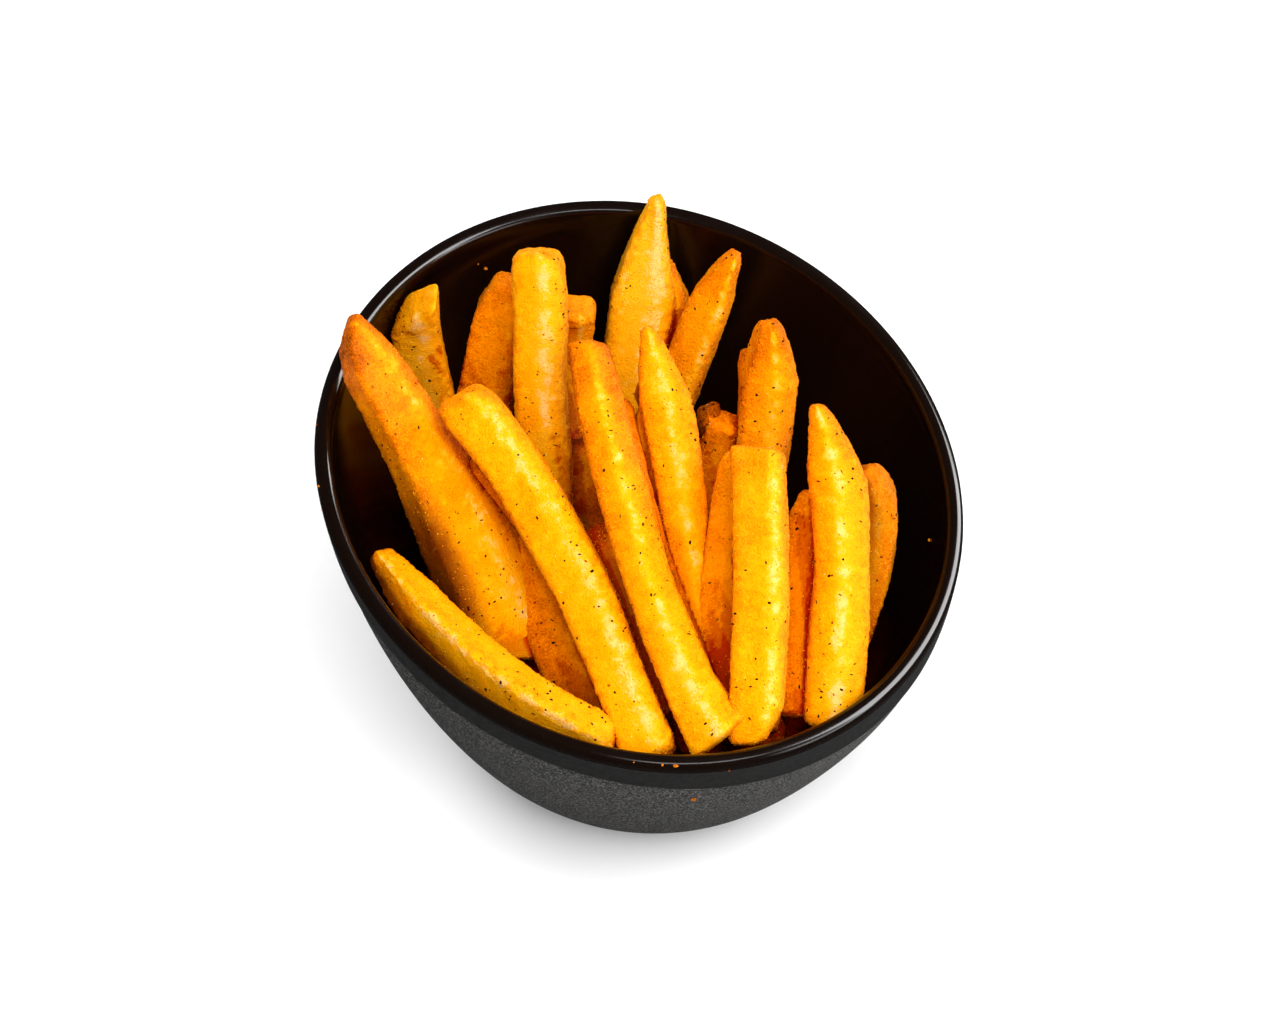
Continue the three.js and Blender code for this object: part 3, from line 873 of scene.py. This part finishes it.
def make_crumbs(bowl):
    """Crumbs that rest on the nearest spot of the bowl's surface."""
    surface = BVHTree.FromPolygons(*mesh_of(bowl))
    lumps = []
    for index, (bearing, height, inside, size) in enumerate(CRUMBS):
        angle = math.radians(bearing)
        radius = inside_radius(height) if inside else outside_radius(height)
        near = Vector((radius * math.cos(angle), radius * math.sin(angle), height)) * MM
        spot, outward = surface.find_nearest(near)[:2]
        place = np.array(spot) / MM + CRUMB_LIFT * size * np.array(outward)
        stretch = np.random.default_rng(index).uniform(*CRUMB_STRETCH, 3)
        points, faces = make_lump(CRUMB_SEED + index, 3 if size > LARGE_CRUMB else 2, CRUMB_UNEVENNESS)
        lumps.append((points * size * stretch + place, faces))
    crumb = plain_grain("crumb", colour(150, 62, 3), colour(222, 130, 16), 0.5)
    return make_piece("crumbs", *join_meshes(lumps), [crumb])


# ---------------------------------------------------------------- materials


class Shader:
    """A material's nodes, made one at a time."""

    def __init__(self, name):
        self.material = bpy.data.materials.new(name)
        self.material.use_nodes = True
        self.nodes = self.material.node_tree.nodes
        self.links = self.material.node_tree.links
        self.surface = self.nodes["Principled BSDF"]
        self.place = self.nodes.new("ShaderNodeTexCoord").outputs["Object"]

    def set(self, **values):
        for label, value in values.items():
            self.surface.inputs[label.replace("_", " ")].default_value = value

    def link(self, output, label):
        self.links.new(output, self.surface.inputs[label])

    def add(self, kind, inputs=None, **settings):
        node = self.nodes.new(kind)
        for label, value in settings.items():
            setattr(node, label, value)
        for label, value in (inputs or {}).items():
            if isinstance(value, bpy.types.NodeSocket):
                self.links.new(value, node.inputs[label])
            else:
                node.inputs[label].default_value = value
        return node

    def noise(self, size, detail=3.0, roughness=0.55, shift=0.0):
        """Noise whose features are about one size across, in millimetres."""
        place = self.add("ShaderNodeMapping", {"Vector": self.place, "Location": (shift, 0, 0)}).outputs[0]
        node = self.add("ShaderNodeTexNoise", {
            "Vector": place, "Scale": 1 / (size * MM), "Detail": detail, "Roughness": roughness})
        return node.outputs["Fac"]

    def mark(self, label):
        return self.add("ShaderNodeAttribute", attribute_name=label).outputs["Fac"]

    def math(self, operation, first, second=0.0, third=0.0):
        node = self.add("ShaderNodeMath", {0: first, 1: second, 2: third}, operation=operation)
        return node.outputs[0]

    def sum(self, total, shares):
        """total and each of the shares times its amount."""
        for share, amount in shares:
            total = self.math("MULTIPLY_ADD", share, amount, total)
        return total

    def range(self, value, low, high, to_low=0.0, to_high=1.0, kind="SMOOTHSTEP"):
        node = self.add("ShaderNodeMapRange", {
            "Value": value, "From Min": low, "From Max": high, "To Min": to_low, "To Max": to_high},
            interpolation_type=kind)
        return node.outputs[0]

    def mix(self, share, first, second, blend="MIX"):
        node = self.add("ShaderNodeMix", {0: share, 6: first, 7: second}, data_type="RGBA", blend_type=blend)
        return node.outputs[2]

    def ramp(self, value, stops):
        node = self.add("ShaderNodeValToRGB", {"Fac": value})
        while len(node.color_ramp.elements) < len(stops):
            node.color_ramp.elements.new(0.5)
        for element, (place, shade) in zip(node.color_ramp.elements, stops):
            element.position = place
            element.color = shade
        return node.outputs["Color"]

    def bump(self, height, distance, strength=1.0, below=None):
        inputs = {"Height": height, "Distance": distance * MM, "Strength": strength}
        if below is not None:
            inputs["Normal"] = below
        return self.add("ShaderNodeBump", inputs).outputs[0]


def colour(red, green, blue):
    """A display colour, 0 to 255, as a shader's linear colour."""
    linear = [(part / 255 / 12.92) if part <= 10 else ((part / 255 + 0.055) / 1.055) ** 2.4
              for part in (red, green, blue)]
    return (*linear, 1.0)


# Colours of the crust from pale to burnt, and of what is on it. Two tints are painted shade:
# one for shaded sides and one that darkens the depths between fries.
PALE_AND_HIGHLIGHT = colour(254, 190, 98)
LEMON = colour(254, 170, 8)
CREAM = colour(253, 174, 26)
STRAW = colour(253, 165, 3)
GOLD = colour(251, 150, 0)
AMBER = colour(240, 128, 0)
TOAST = colour(204, 92, 0)
BROWN = colour(96, 44, 1)
RUST = colour(128, 30, 1)
CHAR = colour(40, 14, 4)
SHADED_SIDE = colour(98, 30, 2)
PAINTED_SHADE = (0.5, 0.05, 0.01, 1)
FRYING = [(0.0, CREAM), (0.18, STRAW), (0.38, GOLD), (0.57, AMBER), (0.78, TOAST), (1.0, BROWN)]


def fried_potato():
    """Golden over the faces, with ragged pale mottles along the crests that are partly a painted
    highlight, browner to the edges and the ends, with painted shade on shaded sides and a
    deep red brown painted shade where fries lie close together."""
    shader = Shader("fried_potato")
    edge = shader.mark("edge")
    crest = shader.mark("crest")
    # Painted shade: how shut in a point lies, from its openness to the room above.
    shut = shader.range(shader.mark("open"), 0.65, 0.15)
    cloud = shader.noise(1.7, 4.0, 0.65)
    grain = shader.noise(0.4, 2.0, 0.6)

    # How fried the crust is, as a sum of the marks and noises. It is browner where shut in, as
    # painted shade, and less fried on the crests, partly as a painted highlight.
    fried = shader.sum(shader.mark("tan"), [
        (shader.noise(6.5, 2.0), 1.4), (cloud, 1.2), (grain, 2.2), (shader.mark("end"), 0.25),
        (edge, 0.3), (crest, -0.5), (shut, 0.4)])
    base = shader.ramp(shader.range(fried, 1.75, 4.75, kind="LINEAR"), FRYING)

    # Pale mottles, where it is less fried: partly a painted highlight along the crests, and kept out
    # of the painted shade where it is shut in.
    drift = shader.noise(3.0, 5.0, 0.7, shift=0.2)
    pale = shader.range(shader.sum(crest, [(drift, 5.4), (grain, 3.2), (fried, -0.75)]), 2.1, 4.7)
    pale = shader.math("MULTIPLY", pale, shader.range(shut, 0.6, 0.1))
    base = shader.mix(shader.range(pale, 0.0, 0.5), base, LEMON)
    base = shader.mix(shader.range(pale, 0.35, 0.9), base, PALE_AND_HIGHLIGHT)

    # Brown streaks on the edges and rusty specks of fine spice, in drifts.
    streak = shader.range(shader.noise(1.7, 3.0), 0.45, 0.7)
    streak = shader.math("MULTIPLY", shader.range(edge, 0.3, 1.0), streak)
    base = shader.mix(shader.math("MULTIPLY", streak, 0.35), base, TOAST)
    dusting = shader.math("MULTIPLY", shader.range(shader.noise(0.42, 1.0, shift=0.7), 0.67, 0.74),
                          shader.range(shader.noise(7, 1.0, shift=0.9), 0.42, 0.62))
    base = shader.mix(shader.math("MULTIPLY", dusting, 0.8), base, RUST)

    # Painted shade on the shaded sides, and painted shade that darkens the depths between fries.
    base = shader.mix(shader.range(shader.mark("soak"), 0.0, 1.0, 0.0, 0.92), base, SHADED_SIDE)
    deep_painted_shade = shader.range(shader.mark("open"), 0.42, 0.05)
    base = shader.mix(deep_painted_shade, base, shader.mix(1.0, base, PAINTED_SHADE, "MULTIPLY"))
    shader.link(base, "Base Color")
    shader.link(shader.range(cloud, 0.3, 0.7, 0.4, 0.6), "Roughness")
    rough = shader.bump(grain, 0.45, 0.9)
    rough = shader.bump(shader.noise(0.24, 1.0), 0.1, 0.9, rough)
    shader.link(shader.bump(cloud, 0.3, 0.5, rough), "Normal")
    shader.set(Subsurface_Weight=0.06, Subsurface_Scale=0.001, Subsurface_Radius=(1.0, 0.35, 0.02),
               Specular_IOR_Level=0.12, Specular_Tint=(1.0, 0.6, 0.05, 1))
    return shader.material


def plain_grain(name, low, high, roughness):
    """The finish of a small grain, which varies between two colours."""
    shader = Shader(name)
    shader.link(shader.mix(shader.range(shader.noise(0.7, 2.0), 0.35, 0.65), low, high), "Base Color")
    shader.link(shader.bump(shader.noise(0.2, 2.0), 0.1, 0.8), "Normal")
    shader.set(Roughness=roughness, Specular_IOR_Level=0.06)
    return shader.material


def black_glaze():
    shader = Shader("black_glaze")
    shader.set(Base_Color=(0.0035, 0.0012, 0.0005, 1), Specular_IOR_Level=0.3)
    shader.link(shader.range(shader.noise(14, 2.0), 0.3, 0.7, 0.13, 0.2), "Roughness")
    shader.link(shader.bump(shader.noise(6, 1.0), 0.1, 0.12), "Normal")
    return shader.material


def satin_band():
    shader = Shader("satin_band")
    shader.set(Base_Color=(0.013, 0.0126, 0.0122, 1), Specular_IOR_Level=0.4)
    shader.link(shader.range(shader.noise(1.2, 2.0), 0.3, 0.7, 0.36, 0.46), "Roughness")
    shader.link(shader.bump(shader.noise(0.5, 2.0), 0.05, 0.25), "Normal")
    return shader.material


def sandy_body():
    shader = Shader("sandy_body")
    grain = shader.noise(0.42, 2.0, 0.7)
    tone = shader.mix(shader.range(grain, 0.45, 0.65), (0.014, 0.0137, 0.0133, 1), (0.12, 0.116, 0.11, 1))
    shader.link(tone, "Base Color")
    shader.link(shader.range(grain, 0.4, 0.7, 0.8, 0.5), "Roughness")
    coarse = shader.bump(shader.noise(1.1, 2.0), 0.35, 0.6)
    shader.link(shader.bump(grain, 0.3, 0.9, coarse), "Normal")
    return shader.material


def pale_floor():
    shader = Shader("pale_floor")
    shader.set(Base_Color=(0.95, 0.95, 0.95, 1), Roughness=0.8, Specular_IOR_Level=0.1)
    return shader.material


# ---------------------------------------------------------------- scene


def make_floor():
    corners = np.array([(-1, -1, 0), (1, -1, 0), (1, 1, 0), (-1, 1, 0)]) * FLOOR_REACH / MM
    floor = make_piece("floor", corners, [(0, 1, 2, 3)], [pale_floor()])
    floor.visible_glossy = False


def make_light(name, place, width, height, power, reflected, lights_up):
    data = bpy.data.lights.new(name, "AREA")
    data.shape = "RECTANGLE"
    data.size = width
    data.size_y = height
    data.energy = power
    light = bpy.data.objects.new(name, data)
    light.location = place
    light.rotation_euler = (Vector(LIGHT_TARGET) - Vector(place)).to_track_quat("-Z", "Y").to_euler()
    light.visible_glossy = reflected
    light.visible_diffuse = lights_up
    bpy.context.scene.collection.objects.link(light)


def make_lights():
    for name, row in LIGHTS.items():
        make_light(name, *row)
    world = bpy.data.worlds.new("studio")
    world.use_nodes = True
    background = world.node_tree.nodes["Background"].inputs
    background["Color"].default_value = (1, 1, 1, 1)
    background["Strength"].default_value = ROOM_LIGHT
    bpy.context.scene.world = world
    bpy.context.scene.view_settings.view_transform = "Standard"


def make_camera():
    back = Vector((0, -math.cos(CAMERA_ELEVATION), math.sin(CAMERA_ELEVATION)))
    data = bpy.data.cameras.new("camera")
    data.lens = CAMERA_LENS
    data.sensor_width = CAMERA_SENSOR
    data.clip_start, data.clip_end = CAMERA_RANGE
    camera = bpy.data.objects.new("camera", data)
    camera.location = Vector(CAMERA_TARGET) * MM + back * CAMERA_DISTANCE
    camera.rotation_euler = (-back).to_track_quat("-Z", "Y").to_euler()
    bpy.context.scene.collection.objects.link(camera)
    bpy.context.scene.camera = camera


def main():
    make_camera()
    make_lights()
    make_floor()
    bowl = make_bowl([sandy_body(), satin_band(), black_glaze()])
    potato = fried_potato()
    standing = list(STANDING_FRIES.values())
    hidden = [prop_of(STANDING_FRIES[name]) for name in PROPPED_FRIES] + bed_fries()
    left = join_fries("fries_left", standing[:FRIES_ON_LEFT], LEFT_SEED, SHOWN_FINENESS, potato)
    right = join_fries("fries_right", standing[FRIES_ON_LEFT:], RIGHT_SEED, SHOWN_FINENESS, potato)
    under = join_fries("fries_under", hidden, UNDER_SEED, HIDDEN_FINENESS, potato)
    fries = [left, right, under, make_mound(potato)]
    mark_shelter(fries, [*fries, bowl])
    seasoning = [*make_seasoning([left, right]), make_crumbs(bowl)]
    for piece in (bowl, *fries, *seasoning):
        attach(piece, "root")
    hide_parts("bowl")
    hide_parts("fries")


main()
